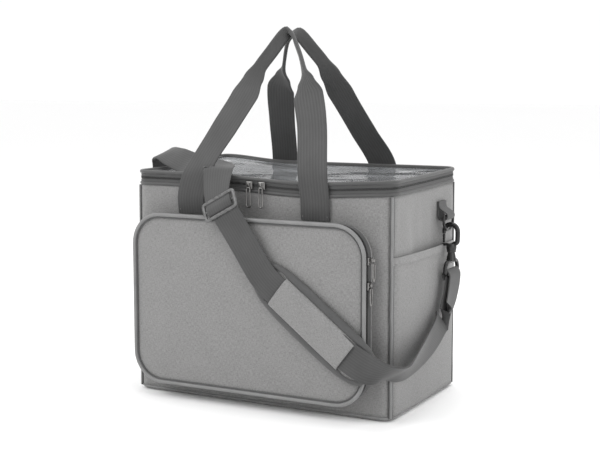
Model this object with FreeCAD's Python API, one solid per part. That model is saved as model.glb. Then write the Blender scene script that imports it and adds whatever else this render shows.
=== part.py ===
import FreeCAD, Part
import math
import os

os.makedirs("parts", exist_ok=True)
V = FreeCAD.Vector

# A padded fabric tote with a clear zipped lid.  X is width, Y runs front (-) to back (+), Z is up.
W = 350.0            # body width
D = 207.0            # body depth
H = 280.0            # rim height
R_LOW = 14.0         # plan corner radius at the base
R_TOP = 18.0         # plan corner radius at the rim
WALL = 4.5           # padded panel thickness
BASE_T = 5.0         # padded base thickness
Z_BAND = 262.0       # top of the panels, start of the zip band
Z_SPLIT = 271.0      # height of the closed zip line
SLIDER_Z = 267.0     # rim sliders, where the soft rim dips a little in front
TAPE_T = 1.6         # zip tape thickness in the rim and pocket
WEB_W = 38.0         # carrying webbing width
WEB_T = 2.0          # carrying webbing thickness
LEG_XA = -91.0       # left leg of each carrying handle
LEG_XB = 79.0        # right leg of each carrying handle
LEG_Y = 107.0        # middle of the leg webbing, front and back
LEG_Z = 256.0        # fold line of the handles, under the band
APEX_Z = 457.0       # top of the handles
PKT_X = -4.0         # middle of the front pocket
PKT_W = 313.0        # front pocket width
PKT_Z0 = 20.0        # front pocket bottom
PKT_H = 208.0        # front pocket height
PKT_R = 37.0         # front pocket corner radius
PKT_WALL = 2.4       # gusset thickness
PKT_SPLIT = -122.0   # plane of the closed pocket zip
PKT_FRONT = -132.0   # outer face of the pocket cover
POUCH_Z = 190.0      # top hem of the side slip pockets
RING_Y = 45.0        # place of the shoulder strap rings along the side
RING_X = 186.5       # stand-off of the rings from the middle
RING_Z = 226.0       # straight bar of the rings
WIRE_R = 1.75        # wire radius of the rings


def save(name, shape):
    shape = shape.removeSplitter()
    shape.exportStep("parts/" + name + ".step")


def plan(w, d, r, z, cx=0.0, cy=0.0):
    """Closed rounded rectangle lying flat at height z."""
    a = w / 2.0
    b = d / 2.0
    k = r * (1.0 - math.sqrt(0.5))
    pts = []
    for sx, sy in ((1, -1), (1, 1), (-1, 1), (-1, -1)):
        p1 = V(cx + sx * (a - r), cy + sy * b, z)
        p2 = V(cx + sx * (a - k), cy + sy * (b - k), z)
        p3 = V(cx + sx * a, cy + sy * (b - r), z)
        if sx * sy > 0:
            p1, p3 = p3, p1
        pts.append((p1, p2, p3))
    edges = []
    for i in range(4):
        p1, p2, p3 = pts[i]
        edges.append(Part.Arc(p1, p2, p3).toShape())
        edges.append(Part.LineSegment(p3, pts[(i + 1) % 4][0]).toShape())
    return Part.Wire(edges)


def radius_at(z):
    f = (z - BASE_T) / (Z_BAND - BASE_T)
    return R_LOW + (R_TOP - R_LOW) * min(1.0, f)


def block(off, z0, z1):
    """Body outline between two heights, grown by off all round."""
    wires = []
    for z in (z0, z1):
        wires.append(plan(W + 2 * off, D + 2 * off, radius_at(z) + off, z))
    return Part.makeLoft(wires, True, True)


def ring(off_in, off_out, z0, z1):
    return block(off_out, z0, z1).cut(block(off_in, z0, z1))


def wedge(side, gap):
    """Quarter of space cut off by the two upright corner planes of one side."""
    far = 120.0
    a = W / 2.0
    b = D / 2.0
    g = gap
    if side == "front":
        pts = [(-a - far + g, -b - far), (a + far - g, -b - far), (a - b + 0.0 - g, 0), (-a + b + g, 0)]
    elif side == "rear":
        pts = [(-a - far + g, b + far), (-a + b + g, 0), (a - b - g, 0), (a + far - g, b + far)]
    elif side == "right":
        pts = [(a + far, -b - far + g), (a + far, b + far - g), (a - b + g, 0)]
    else:
        pts = [(-a - far, -b - far + g), (-a + b - g, 0), (-a - far, b + far - g)]
    poly = [V(x, y, -20) for x, y in pts]
    poly.append(poly[0])
    return Part.Face(Part.makePolygon(poly)).extrude(V(0, 0, 400))


def ribbon(sections):
    """Closed strap: each section is a middle point, a width vector and a thickness vector."""
    wires = []
    for c, w, t in sections:
        c = V(*c)
        w = V(*w) * 0.5
        t = V(*t) * 0.5
        p = [c - w - t, c + w - t, c + w + t, c - w + t]
        p.append(p[0])
        wires.append(Part.makePolygon(p))
    return Part.makeLoft(wires, True, True)


def strap(rows, width, thick):
    """Strap through rows of (point, width direction); thickness is square to both."""
    out = []
    n = len(rows)
    for i in range(n):
        p = V(*rows[i][0])
        a = V(*rows[max(0, i - 1)][0])
        b = V(*rows[min(n - 1, i + 1)][0])
        tan = (b - a).normalize()
        wd = V(*rows[i][1])
        wd = (wd - tan * wd.dot(tan)).normalize()
        nrm = tan.cross(wd).normalize()
        out.append((tuple(p), tuple(wd * width), tuple(nrm * thick)))
    return ribbon(out)


def box(x0, x1, y0, y1, z0, z1):
    return Part.makeBox(x1 - x0, y1 - y0, z1 - z0, V(x0, y0, z0))


def rod(p, q, r):
    p = V(*p)
    q = V(*q)
    return Part.makeCylinder(r, (q - p).Length, p, q - p)


def tube_path(pts, r):
    """Round wire bent through the points, with balls at the bends."""
    s = rod(pts[0], pts[1], r)
    for i in range(1, len(pts) - 1):
        s = s.fuse(Part.makeSphere(r, V(*pts[i])))
        s = s.fuse(rod(pts[i], pts[i + 1], r))
    return s


def mirror_x(shape):
    return shape.mirror(V(0, 0, 0), V(1, 0, 0))


# ---- base, walls and lining
save("base_panel", block(-1.0, 0.0, BASE_T - 0.1))
save("base_stiffener", block(-WALL - 2.0, BASE_T, BASE_T + 2.5))
save("base_piping", ring(-1.0, 1.4, 1.0, 4.4))
walls = ring(-WALL, 0.0, BASE_T, Z_BAND)
save("front_panel", walls.common(wedge("front", 1.0)))
save("rear_panel", walls.common(wedge("rear", 1.0)))
save("left_side_panel", walls.common(wedge("left", 1.0)))
save("right_side_panel", walls.common(wedge("right", 1.0)))
save("lining", ring(-WALL - 1.1, -WALL - 0.3, BASE_T + 3.0, Z_BAND - 1.0))

for nm, sx, sy in (("front_left", -1, -1), ("front_right", 1, -1), ("rear_left", -1, 1), ("rear_right", 1, 1)):
    ends = []
    for z in (BASE_T + 1.0, Z_BAND - 2.5):
        k = radius_at(z) * (1.0 - math.sqrt(0.5)) - 1.25
        ends.append((sx * (W / 2.0 - k), sy * (D / 2.0 - k), z))
    save(nm + "_piping", rod(ends[0], ends[1], 1.5))

# ---- rim band on the body
save("rim_piping", ring(-2.0, 1.4, Z_BAND, Z_BAND + 3.2))
save("rim_zip_tape", ring(-TAPE_T, 0.0, Z_BAND + 3.2, Z_SPLIT - 1.2))
save("rim_zip_coil", ring(-TAPE_T - 0.2, 0.2, Z_SPLIT - 1.2, Z_SPLIT - 0.05))
save("lid_hinge_tape", box(-95, 95, D / 2 + 0.02, D / 2 + 1.0, Z_BAND + 3.4, Z_SPLIT - 1.4))

# ---- lid: zip half, edge piping and clear window
save("lid_zip_coil", ring(-TAPE_T - 0.2, 0.2, Z_SPLIT + 0.05, Z_SPLIT + 1.2))
save("lid_zip_tape", ring(-TAPE_T, 0.0, Z_SPLIT + 1.2, H - 3.4))
save("lid_piping", ring(-2.2, 1.4, H - 3.4, H))
save("lid_window", block(-2.3, H - 2.6, H - 1.6))

# ---- carrying handles: flat legs, webbing folded double at the grip
SLOPE = (LEG_Y - 4.0) / (APEX_Z - 286.0)


def handle(side, legs, apex_x, narrow, name):
    """legs: x of the two legs; narrow: x where the fold to the double grip starts on each."""
    rows = []
    ya = side * LEG_Y

    def y_at(z):
        return side * (LEG_Y - max(0.0, z - 286.0) * SLOPE)

    left = [(legs[0], LEG_Z + 0.4), (legs[0] + 4, 286.0), (narrow[0], 396.0), (narrow[0] + 6, 412.0)]
    right = [(legs[1], LEG_Z + 0.4), (legs[1] - 4, 286.0), (narrow[1], 396.0), (narrow[1] - 4, 412.0)]
    top = [(apex_x - 9, APEX_Z - 16), (apex_x - 5, APEX_Z - 6), (apex_x, APEX_Z - 3)]
    back = [(apex_x + 5, APEX_Z - 6), (apex_x + 9, APEX_Z - 16)]
    pts = left + top + back + right[::-1]
    n = len(pts)
    out = []
    for i, (x, z) in enumerate(pts):
        p = V(x, y_at(z), z)
        a = pts[max(0, i - 1)]
        b = pts[min(n - 1, i + 1)]
        tan = V(b[0] - a[0], y_at(b[1]) - y_at(a[1]), b[1] - a[1]).normalize()
        if i < 2 or i > n - 3:
            nrm = V(0, 1, 0)
            wd = V(1, 0, 0) if i < 2 else V(-1, 0, 0)
        else:
            nrm = V(0, 1, side * SLOPE).normalize()
            wd = nrm.cross(tan).normalize() * -1.0
        if i == 0 or i == n - 1 or i == 1 or i == n - 2:
            size = WEB_W
            th = WEB_T
        elif 2 < i < n - 3:
            size = WEB_W / 2.0
            th = 4.6
            if 4 <= i <= n - 5:
                size = 15.0
        else:
            size = WEB_W
            th = WEB_T
        if wd.x < 0 and i < n / 2 - 1:
            wd = wd * -1.0
        out.append((tuple(p), tuple(wd * size), tuple(nrm * th)))
    # keep the width direction turning the same way round the arch
    for i in range(1, n):
        a = V(*out[i - 1][1])
        b = V(*out[i][1])
        if a.dot(b) < 0:
            out[i] = (out[i][0], tuple(b * -1.0), out[i][2])
    first = ribbon(out)
    save(name, first)
    return out


handle(-1, (LEG_XA, LEG_XB), -14.0, (-42.0, 32.0), "front_handle")
handle(1, (-78.0, 74.0), -1.0, (-38.0, 34.0), "rear_handle")
for nm, x in (("left", LEG_XA), ("right", LEG_XB)):
    z0 = PKT_Z0 + PKT_H + 1.0
    save("front_" + nm + "_handle_leg", box(x - WEB_W / 2, x + WEB_W / 2, -108, -D / 2 - 0.05, z0, LEG_Z))
for nm, x in (("left", -78.0), ("right", 74.0)):
    save("rear_" + nm + "_handle_leg", box(x - WEB_W / 2, x + WEB_W / 2, D / 2 + 0.05, 108, 170.0, LEG_Z))


# ---- front pocket
def pocket(grow, y0, y1):
    """Front pocket outline standing between two depth planes."""
    w = plan(PKT_W + 2 * grow, PKT_H + 2 * grow, PKT_R + grow, 0.0)
    f = Part.Face(w).extrude(V(0, 0, y1 - y0))
    f.rotate(V(0, 0, 0), V(1, 0, 0), 90)
    f.translate(V(PKT_X, y1, PKT_Z0 + PKT_H / 2))
    return f


def pocket_ring(g_in, g_out, y0, y1):
    return pocket(g_out, y0, y1).cut(pocket(g_in, y0 - 1, y1 + 1))


FRONT = -D / 2 - 0.05
save("pocket_gusset", pocket_ring(-PKT_WALL, 0.0, PKT_SPLIT + 4.5, FRONT))
save("pocket_zip_tape", pocket_ring(-TAPE_T, 0.0, PKT_SPLIT + 1.2, PKT_SPLIT + 4.5))
save("pocket_zip_coil", pocket_ring(-TAPE_T - 0.2, 0.2, PKT_SPLIT + 0.05, PKT_SPLIT + 1.2))
save("pocket_cover_coil", pocket_ring(-TAPE_T - 0.2, 0.2, PKT_SPLIT - 1.2, PKT_SPLIT - 0.05))
save("pocket_cover_tape", pocket_ring(-TAPE_T, 0.0, PKT_SPLIT - 5.0, PKT_SPLIT - 1.2))
save("pocket_cover_piping", pocket_ring(-2.4, 1.4, PKT_SPLIT - 8.4, PKT_SPLIT - 5.0))
save("pocket_cover", pocket(-2.5, PKT_FRONT, PKT_SPLIT - 5.2))


# ---- side slip pockets, bulging a little in the middle
def pouch(sign):
    levels = []
    for z in (BASE_T + 1.0, 98.0, POUCH_Z):
        r = radius_at(z)
        outer = []
        inner = []
        n = 12
        half = D / 2 - r * 0.30 - 2.6
        for i in range(n + 1):
            t = -1.0 + 2.0 * i / n
            y = t * half
            c = D / 2 - r
            e = max(0.0, abs(y) - c)
            x = W / 2 - r + math.sqrt(max(0.0, r * r - e * e))
            bulge = 1.2 + 5.4 * math.sin(math.pi * (t + 1) / 2) ** 0.8
            inner.append(V(sign * (x + bulge), y, z))
            outer.append(V(sign * (x + bulge + 1.6), y, z))
        pts = outer + inner[::-1]
        pts.append(pts[0])
        levels.append(Part.makePolygon(pts))
    return Part.makeLoft(levels, True, True)


save("right_side_pocket", pouch(1))
save("left_side_pocket", pouch(-1))


# ---- strap rings, tabs and swivel hooks
def ring_tab():
    s = box(W / 2 + 0.2, W / 2 + 3.4, RING_Y - 12.5, RING_Y + 12.5, RING_Z, 252.0)
    c = rod((RING_X, RING_Y - 12.5, RING_Z), (RING_X, RING_Y + 12.5, RING_Z), 4.4)
    b = box(W / 2 + 0.2, RING_X, RING_Y - 12.5, RING_Y + 12.5, RING_Z - 3.0, RING_Z + 4.4)
    hole = rod((RING_X, RING_Y - 13, RING_Z), (RING_X, RING_Y + 13, RING_Z), WIRE_R + 0.3)
    return s.fuse(c).fuse(b).cut(hole)


def d_ring():
    x = RING_X
    z = RING_Z
    y = RING_Y
    arc = []
    for i in range(9):
        a = math.pi * i / 8.0
        arc.append((x, y + 16.0 * math.cos(a), z - 4.0 - 14.0 * math.sin(a)))
    pts = [(x, y, z), (x, y + 16.0, z)] + arc + [(x, y - 16.0, z), (x, y, z)]
    return tube_path(pts, WIRE_R)


HOOK_T = 5.0         # hook thickness along Y
HOOK_X = 191.0       # upright axis of the swivel


def slab(pts, y0, y1):
    poly = [V(x, y0, z) for x, z in pts]
    poly.append(poly[0])
    return Part.Face(Part.makePolygon(poly)).extrude(V(0, y1 - y0, 0))


def hook():
    """Hook body: back, top bend and collar; the mouth is closed by the gate."""
    y0 = RING_Y - HOOK_T / 2
    y1 = RING_Y + HOOK_T / 2
    cx = HOOK_X - 1.0
    cz = 206.5
    o = Part.makeCylinder(11.0, HOOK_T, V(cx, y0, cz), V(0, 1, 0))
    i = Part.makeCylinder(6.6, HOOK_T, V(cx, y0, cz), V(0, 1, 0))
    top = o.cut(i).cut(box(cx - 20, cx + 20, y0 - 1, y1 + 1, cz - 20, cz))
    spine = box(cx + 6.6, cx + 11.0, y0, y1, 193.0, cz)
    tip = box(cx - 11.0, cx - 6.6, y0, y1, cz - 3.0, cz)
    foot = box(cx - 10.0, cx + 11.0, y0, y1, 190.9, 193.8)
    collar = Part.makeCylinder(6.5, 9.0, V(HOOK_X, RING_Y, 182.0))
    hole = Part.makeCylinder(2.6, 12.2, V(HOOK_X, RING_Y, 178.0))
    s = top.fuse(spine).fuse(tip).fuse(foot).fuse(collar)
    return s.cut(hole)


def gate():
    y0 = RING_Y - 1.6
    y1 = RING_Y + 1.6
    x0 = HOOK_X - 1.0 - 10.4
    return box(x0, x0 + 3.2, y0, y1, 194.8, 203.2)


def swivel_eye():
    """Stem in the collar and the bar the strap is folded round."""
    stem = Part.makeCylinder(2.2, 22.0, V(HOOK_X, RING_Y, 168.0))
    neck = Part.makeCylinder(4.5, 3.0, V(HOOK_X, RING_Y, 178.4))
    w = WEB_W / 2 + 2.5
    z0 = 156.0
    z1 = 172.0
    pts = [(HOOK_X, RING_Y - w, z0), (HOOK_X, RING_Y + w, z0), (HOOK_X, RING_Y + w - 4, z1)]
    pts += [(HOOK_X, RING_Y - w + 4, z1), (HOOK_X, RING_Y - w, z0)]
    pts = [(HOOK_X, RING_Y, z0)] + pts[1:] + [(HOOK_X, RING_Y, z0)]
    loop = tube_path(pts, 2.2)
    return loop.fuse(stem.common(box(150, 230, 0, 100, 172.0, 187.9))).fuse(neck)


for nm, op in (("right", None), ("left", mirror_x)):
    for part, shape in (
        ("ring_tab", ring_tab()),
        ("ring", d_ring()),
        ("hook", hook()),
        ("hook_gate", gate()),
        ("hook_eye", swivel_eye()),
    ):
        save(nm + "_" + part, op(shape) if op else shape)


# ---- zip sliders and pulls
def slider_rim(x):
    y = -D / 2
    s = box(x - 4.5, x + 4.5, y - 4.6, y - 1.7, SLIDER_Z - 5.0, SLIDER_Z + 5.0)
    return s.fuse(box(x - 1.6, x + 1.6, y - 7.4, y - 4.5, SLIDER_Z - 0.2, SLIDER_Z + 3.8))


def pull_rim(x):
    y = -D / 2 - 6.0
    outer = box(x - 3.6, x + 3.6, y - 0.9, y + 0.9, SLIDER_Z - 27.0, SLIDER_Z - 1.7)
    hole = box(x - 1.7, x + 1.7, y - 2, y + 2, SLIDER_Z - 22.0, SLIDER_Z - 5.0)
    return outer.cut(hole)


save("left_rim_slider", slider_rim(-8.5))
save("right_rim_slider", slider_rim(8.5))
save("left_rim_pull", pull_rim(-8.5))
save("right_rim_pull", pull_rim(8.5))

PX = PKT_X + PKT_W / 2      # right face of the pocket gusset


def slider_pkt(z, reach):
    y = PKT_SPLIT
    s = box(PX + 1.7, PX + 4.4, y - 4.6, y + 4.6, z - 4.5, z + 4.5)
    return s.fuse(box(PX + 4.3, PX + reach + 1.4, y - 1.6, y + 1.6, z - 0.2, z + 3.6))


def pull_pkt(z, reach):
    x = PX + reach
    outer = box(x - 0.8, x + 0.8, PKT_SPLIT - 3.2, PKT_SPLIT + 3.2, z - 24.0, z - 1.8)
    hole = box(x - 2, x + 2, PKT_SPLIT - 1.4, PKT_SPLIT + 1.4, z - 20.0, z - 5.5)
    return outer.cut(hole)


# the upper pull hangs clear outside the lower slider
for nm, z, reach in (("upper", 189.0, 9.0), ("lower", 160.5, 5.8)):
    save(nm + "_pocket_slider", slider_pkt(z, reach))
    save(nm + "_pocket_pull", pull_pkt(z, reach))

# ---- shoulder strap: long run from the right hook to the slide adjuster, then over the lid to the left hook
PADN = V(0.0, -1.0, 0.0)
P0 = V(24.9, -138.2, 168.5)          # upper end of the pad run
P1 = V(161.1, -138.2, 63.4)          # lower end of the pad run
RUN = (P1 - P0).normalize()
ACR = RUN.cross(PADN).normalize()    # across the strap on the front
a3 = (-ACR.x, -ACR.y, -ACR.z)
right_rows = [
    ((HOOK_X, 44, 149), (0, 1, 0)),
    ((HOOK_X, 40, 132), (0, 1, 0.35)),
    ((HOOK_X, 28, 112), (0, 0.8, 0.6)),
    ((HOOK_X, 6, 92), (0, 0.65, 0.75)),
    ((HOOK_X, -30, 76), (0, 0.4, 0.9)),
    ((HOOK_X, -72, 65), (0.15, 0.3, 0.95)),
    ((HOOK_X, -100, 60), (0.3, 0.1, 0.95)),
    ((188, -120, 57.5), (0.4, -0.1, 0.92)),
    ((180, -133, 57), (0.5, -0.15, 0.85)),
    (tuple(P1), a3),
    (tuple(P0), a3),
    ((8, -138.6, 195), a3),
    ((-7, -139.0, 215), (0.8, 0, 0.5)),
    ((-15, -138.2, 223.5), (0.9, 0, 0.4)),
]
save("shoulder_strap", strap(right_rows, WEB_W - 1.0, 1.8))
left_rows = [
    ((-31, -128.5, 250), (0.96, 0, 0.28)),
    ((-38, -120, 268), (0.97, 0, 0.2)),
    ((-40, -112, 283), (1.0, 0.05, 0.05)),
    ((-40, -97, 291), (1.0, 0.15, 0.0)),
    ((-56, -84, 292), (0.85, 0.5, 0.0)),
    ((-84, -70, 294), (0.6, 0.8, 0.0)),
    ((-120, -50, 298), (0.4, 0.9, 0.0)),
    ((-160, -32, 302), (0.25, 0.95, 0.0)),
    ((-186, -21, 292), (0.0, 0.97, 0.2)),
    ((-193, -15, 275), (0.0, 0.97, 0.2)),
    ((-199, -6, 245), (0.0, 0.97, 0.25)),
    ((-205, 8, 205), (0.0, 0.95, 0.3)),
    ((-208, 22, 165), (0.0, 0.95, 0.3)),
    ((-207, 33, 138), (0.0, 0.98, 0.2)),
    ((-200, 40, 128), (0.0, 1.0, 0.1)),
    ((-193, 43, 134), (0.0, 1.0, 0.0)),
    ((-191, 44, 149), (0.0, 1.0, 0.0)),
]
save("shoulder_strap_end", strap(left_rows, WEB_W - 1.0, 1.8))


def on_run(along, across, out):
    """Point on the pad run: mm from its middle, across it and outward from the strap."""
    mid = (P0 + P1) * 0.5
    return mid + RUN * along + ACR * across + PADN * out


def run_box(l0, l1, w, o0, o1):
    p = [on_run(l0, -w / 2, o0), on_run(l1, -w / 2, o0), on_run(l1, w / 2, o0), on_run(l0, w / 2, o0)]
    p.append(p[0])
    return Part.Face(Part.makePolygon(p)).extrude(PADN * (o1 - o0))


save("shoulder_pad", run_box(-84, 84, 58.0, -5.6, -1.3))
sleeve = run_box(-62, 62, 46.0, -1.15, 3.0).cut(run_box(-70, 70, 40.0, -1.3, 1.3))
save("pad_sleeve", sleeve)


def adjuster():
    """Flat slide with three bars; the strap is threaded round the middle one."""
    s = box(-25.5, 25.5, -1.4, 1.4, -11.5, 11.5)
    for z0, z1 in ((-8.5, -1.8), (1.8, 8.5)):
        s = s.cut(box(-21.0, 21.0, -3, 3, z0, z1))
    s.rotate(V(0, 0, 0), V(1, 0, 0), -38)
    s.rotate(V(0, 0, 0), V(0, 1, 0), -16)
    s.translate(V(-26.5, -131.5, 241.0))
    return s


save("strap_adjuster", adjuster())
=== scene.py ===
"""A padded knitting tote: heathered canvas body, clear zipped lid, front pocket and clip-on strap."""
import math
import bmesh
import bpy
from mathutils import Matrix, Vector, noise


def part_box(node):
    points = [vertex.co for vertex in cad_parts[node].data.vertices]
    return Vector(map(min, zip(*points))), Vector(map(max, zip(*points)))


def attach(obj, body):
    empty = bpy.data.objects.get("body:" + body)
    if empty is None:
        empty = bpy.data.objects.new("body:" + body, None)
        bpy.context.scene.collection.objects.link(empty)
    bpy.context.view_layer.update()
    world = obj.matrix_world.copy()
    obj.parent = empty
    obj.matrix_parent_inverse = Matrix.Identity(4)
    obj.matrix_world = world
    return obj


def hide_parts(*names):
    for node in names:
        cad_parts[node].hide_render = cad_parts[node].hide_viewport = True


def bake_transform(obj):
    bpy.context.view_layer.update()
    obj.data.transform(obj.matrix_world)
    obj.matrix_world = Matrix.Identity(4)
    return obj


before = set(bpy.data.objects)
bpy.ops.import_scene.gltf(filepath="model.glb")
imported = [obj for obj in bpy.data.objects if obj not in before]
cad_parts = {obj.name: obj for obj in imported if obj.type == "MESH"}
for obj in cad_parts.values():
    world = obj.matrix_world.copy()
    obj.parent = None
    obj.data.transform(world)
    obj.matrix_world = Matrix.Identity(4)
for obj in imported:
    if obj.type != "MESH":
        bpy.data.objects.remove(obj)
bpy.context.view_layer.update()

MM = 0.001


def span(node):
    """Lowest and highest corner of a sub-part, in millimetres."""
    lo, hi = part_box(node)
    return Vector(lo) / MM, Vector(hi) / MM


# ---------------------------------------------------------------- sizes, in millimetres
W = 2 * span("right_side_panel")[1].x
D = -2 * span("front_panel")[0].y
WALL_LO = span("front_panel")[0].z
WALL_HI = span("front_panel")[1].z
RIM = span("lid_piping")[1].z
SPLIT = span("rim_zip_coil")[1].z
R_LOW = 14.0   # corner radius at the base
R_TOP = 18.0   # corner radius at the rim
PKT_LO, PKT_HI = span("pocket_gusset")
PKT_MID = (PKT_LO + PKT_HI) / 2
PKT_W = PKT_HI.x - PKT_LO.x
PKT_H = PKT_HI.z - PKT_LO.z
PKT_R = 37.0   # corner radius of the front pocket
PKT_ZIP = span("pocket_zip_coil")[0].y
WEB_W = span("front_left_handle_leg")[1].x - span("front_left_handle_leg")[0].x
WEB_T = 2.0
POUCH_HI = span("right_side_pocket")[1].z
RING_AT = (span("right_ring")[0] + span("right_ring")[1]) / 2
RING_Y = 45.0
RING_WIRE = 1.75
HOOK_X = 191.0
LID_OFF = -0.3
SEAM_TURN = math.radians(54)
PKT_AROUND = 2 * (PKT_W + PKT_H)
RIM_TEETH = 620
PKT_TEETH = 560
SWELL_FRAMES = 20
SWELL_PRESSURE = 4.0


# ---------------------------------------------------------------- materials
def shader(name, rough, sheen=0.0, metal=0.0, spec=0.5, coat=0.0):
    mat = bpy.data.materials.new(name)
    mat.use_nodes = True
    bsdf = mat.node_tree.nodes["Principled BSDF"]
    bsdf.inputs["Roughness"].default_value = rough
    bsdf.inputs["Sheen Weight"].default_value = sheen
    bsdf.inputs["Metallic"].default_value = metal
    bsdf.inputs["Specular IOR Level"].default_value = spec
    bsdf.inputs["Coat Weight"].default_value = coat
    return mat, mat.node_tree, bsdf


def coords(tree, kind, scale, turn=0.0):
    """Coordinates in metres times a scale for each direction."""
    source = tree.nodes.new("ShaderNodeTexCoord")
    mapping = tree.nodes.new("ShaderNodeMapping")
    mapping.inputs["Scale"].default_value = scale
    mapping.inputs["Rotation"].default_value = (0, 0, turn)
    tree.links.new(source.outputs[kind], mapping.inputs["Vector"])
    return mapping.outputs["Vector"]


def speckle(tree, vector, detail=2.0):
    tex = tree.nodes.new("ShaderNodeTexNoise")
    tex.inputs["Scale"].default_value = 1.0
    tex.inputs["Detail"].default_value = detail
    tree.links.new(vector, tex.inputs["Vector"])
    return tex.outputs["Fac"]


def stripes(tree, vector, axis, distortion=0.0):
    tex = tree.nodes.new("ShaderNodeTexWave")
    tex.wave_type = "BANDS"
    tex.bands_direction = axis
    tex.inputs["Scale"].default_value = 1.0
    tex.inputs["Distortion"].default_value = distortion
    tree.links.new(vector, tex.inputs["Vector"])
    return tex.outputs["Fac"]


def combine(tree, operation, a, b):
    node = tree.nodes.new("ShaderNodeMath")
    node.operation = operation
    for slot, value in enumerate((a, b)):
        if isinstance(value, float):
            node.inputs[slot].default_value = value
        else:
            tree.links.new(value, node.inputs[slot])
    return node.outputs["Value"]


def ramp(tree, fac, stops):
    node = tree.nodes.new("ShaderNodeValToRGB")
    while len(node.color_ramp.elements) < len(stops):
        node.color_ramp.elements.new(0.5)
    for element, (place, colour) in zip(node.color_ramp.elements, stops):
        element.position = place
        element.color = (*colour, 1.0)
    tree.links.new(fac, node.inputs["Fac"])
    return node.outputs["Color"]


def raise_surface(tree, bsdf, height, strength, distance):
    node = tree.nodes.new("ShaderNodeBump")
    node.inputs["Strength"].default_value = strength
    node.inputs["Distance"].default_value = distance
    tree.links.new(height, node.inputs["Height"])
    tree.links.new(node.outputs["Normal"], bsdf.inputs["Normal"])


def grey(level, warm=0.0):
    return (level * (1 + warm), level, level * (1 - warm))


def heather_canvas(name, dark, light, kind="UV"):
    """Two-tone yarns woven plain: short flecks both ways over slow mottling."""
    mat, tree, bsdf = shader(name, 0.82, sheen=0.25, spec=0.3)
    warp = speckle(tree, coords(tree, kind, (1400, 260, 700)))
    weft = speckle(tree, coords(tree, kind, (260, 1400, 700), 0.0))
    cloud = speckle(tree, coords(tree, kind, (34, 34, 34)), 3.0)
    yarn = combine(tree, "MAXIMUM", warp, weft)
    fac = combine(tree, "MULTIPLY_ADD", cloud, 0.10)
    tree.links.new(combine(tree, "MULTIPLY", yarn, 1.0), fac.node.inputs[2])
    colour = ramp(tree, fac, [(0.46, dark), (0.60, light), (0.74, tuple(c * 1.16 for c in light))])
    tree.links.new(colour, bsdf.inputs["Base Color"])
    ribs = combine(tree, "ADD", stripes(tree, coords(tree, kind, (300, 300, 300)), "X"),
                   stripes(tree, coords(tree, kind, (300, 300, 300)), "Y"))
    raise_surface(tree, bsdf, combine(tree, "ADD", ribs, yarn), 0.35, 0.0003)
    return mat


def ribbed_webbing(name, level, ribs=0.5):
    """Lengthwise ribs with a fine cross weave, on a strip whose U runs across."""
    mat, tree, bsdf = shader(name, 0.62, sheen=0.15, spec=0.4)
    cord = stripes(tree, coords(tree, "UV", (140, 140, 140)), "X")
    pick = stripes(tree, coords(tree, "UV", (260, 260, 260)), "Y")
    wear = speckle(tree, coords(tree, "UV", (60, 24, 60)), 3.0)
    fac = combine(tree, "MULTIPLY_ADD", cord, 0.35)
    tree.links.new(combine(tree, "MULTIPLY", wear, 0.9), fac.node.inputs[2])
    colour = ramp(tree, fac, [(0.2, grey(level * 0.72)), (0.6, grey(level)), (1.0, grey(level * 1.3))])
    tree.links.new(colour, bsdf.inputs["Base Color"])
    height = combine(tree, "MULTIPLY_ADD", pick, 0.25)
    tree.links.new(cord, height.node.inputs[2])
    raise_surface(tree, bsdf, height, ribs, 0.0006)
    return mat


def bound_edge(name, level, kind="UV"):
    """Cloth binding over a cord, with faint diagonal threads."""
    mat, tree, bsdf = shader(name, 0.6, sheen=0.2, spec=0.4)
    thread = stripes(tree, coords(tree, kind, (260, 260, 260), 0.6), "X", 1.0)
    soil = speckle(tree, coords(tree, kind, (90, 40, 90)), 3.0)
    fac = combine(tree, "MULTIPLY_ADD", thread, 0.25)
    tree.links.new(combine(tree, "MULTIPLY", soil, 0.8), fac.node.inputs[2])
    colour = ramp(tree, fac, [(0.25, grey(level * 0.75)), (0.8, grey(level * 1.15))])
    tree.links.new(colour, bsdf.inputs["Base Color"])
    raise_surface(tree, bsdf, thread, 0.3, 0.0003)
    return mat


def zip_coil(name, level):
    mat, tree, bsdf = shader(name, 0.4, spec=0.5)
    fac = speckle(tree, coords(tree, "Object", (500, 500, 500)))
    colour = ramp(tree, fac, [(0.3, grey(level * 0.7)), (0.7, grey(level * 1.3))])
    tree.links.new(colour, bsdf.inputs["Base Color"])
    return mat


def moulded(name, level, rough):
    """Black acetal with faint flow marks and soft wear on the gloss."""
    mat, tree, bsdf = shader(name, rough, spec=0.5)
    fac = speckle(tree, coords(tree, "Object", (120, 120, 300)), 4.0)
    colour = ramp(tree, fac, [(0.3, grey(level * 0.8)), (0.8, grey(level * 1.5))])
    tree.links.new(colour, bsdf.inputs["Base Color"])
    polish = combine(tree, "MULTIPLY_ADD", fac, 0.25)
    polish.node.inputs[2].default_value = rough - 0.1
    tree.links.new(polish, bsdf.inputs["Roughness"])
    raise_surface(tree, bsdf, fac, 0.08, 0.0002)
    return mat


def plated(name, level):
    mat, tree, bsdf = shader(name, 0.28, metal=1.0)
    fac = speckle(tree, coords(tree, "Object", (300, 300, 90)), 3.0)
    colour = ramp(tree, fac, [(0.3, grey(level * 0.75, 0.02)), (0.8, grey(level * 1.2, 0.02))])
    tree.links.new(colour, bsdf.inputs["Base Color"])
    return mat


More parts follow.
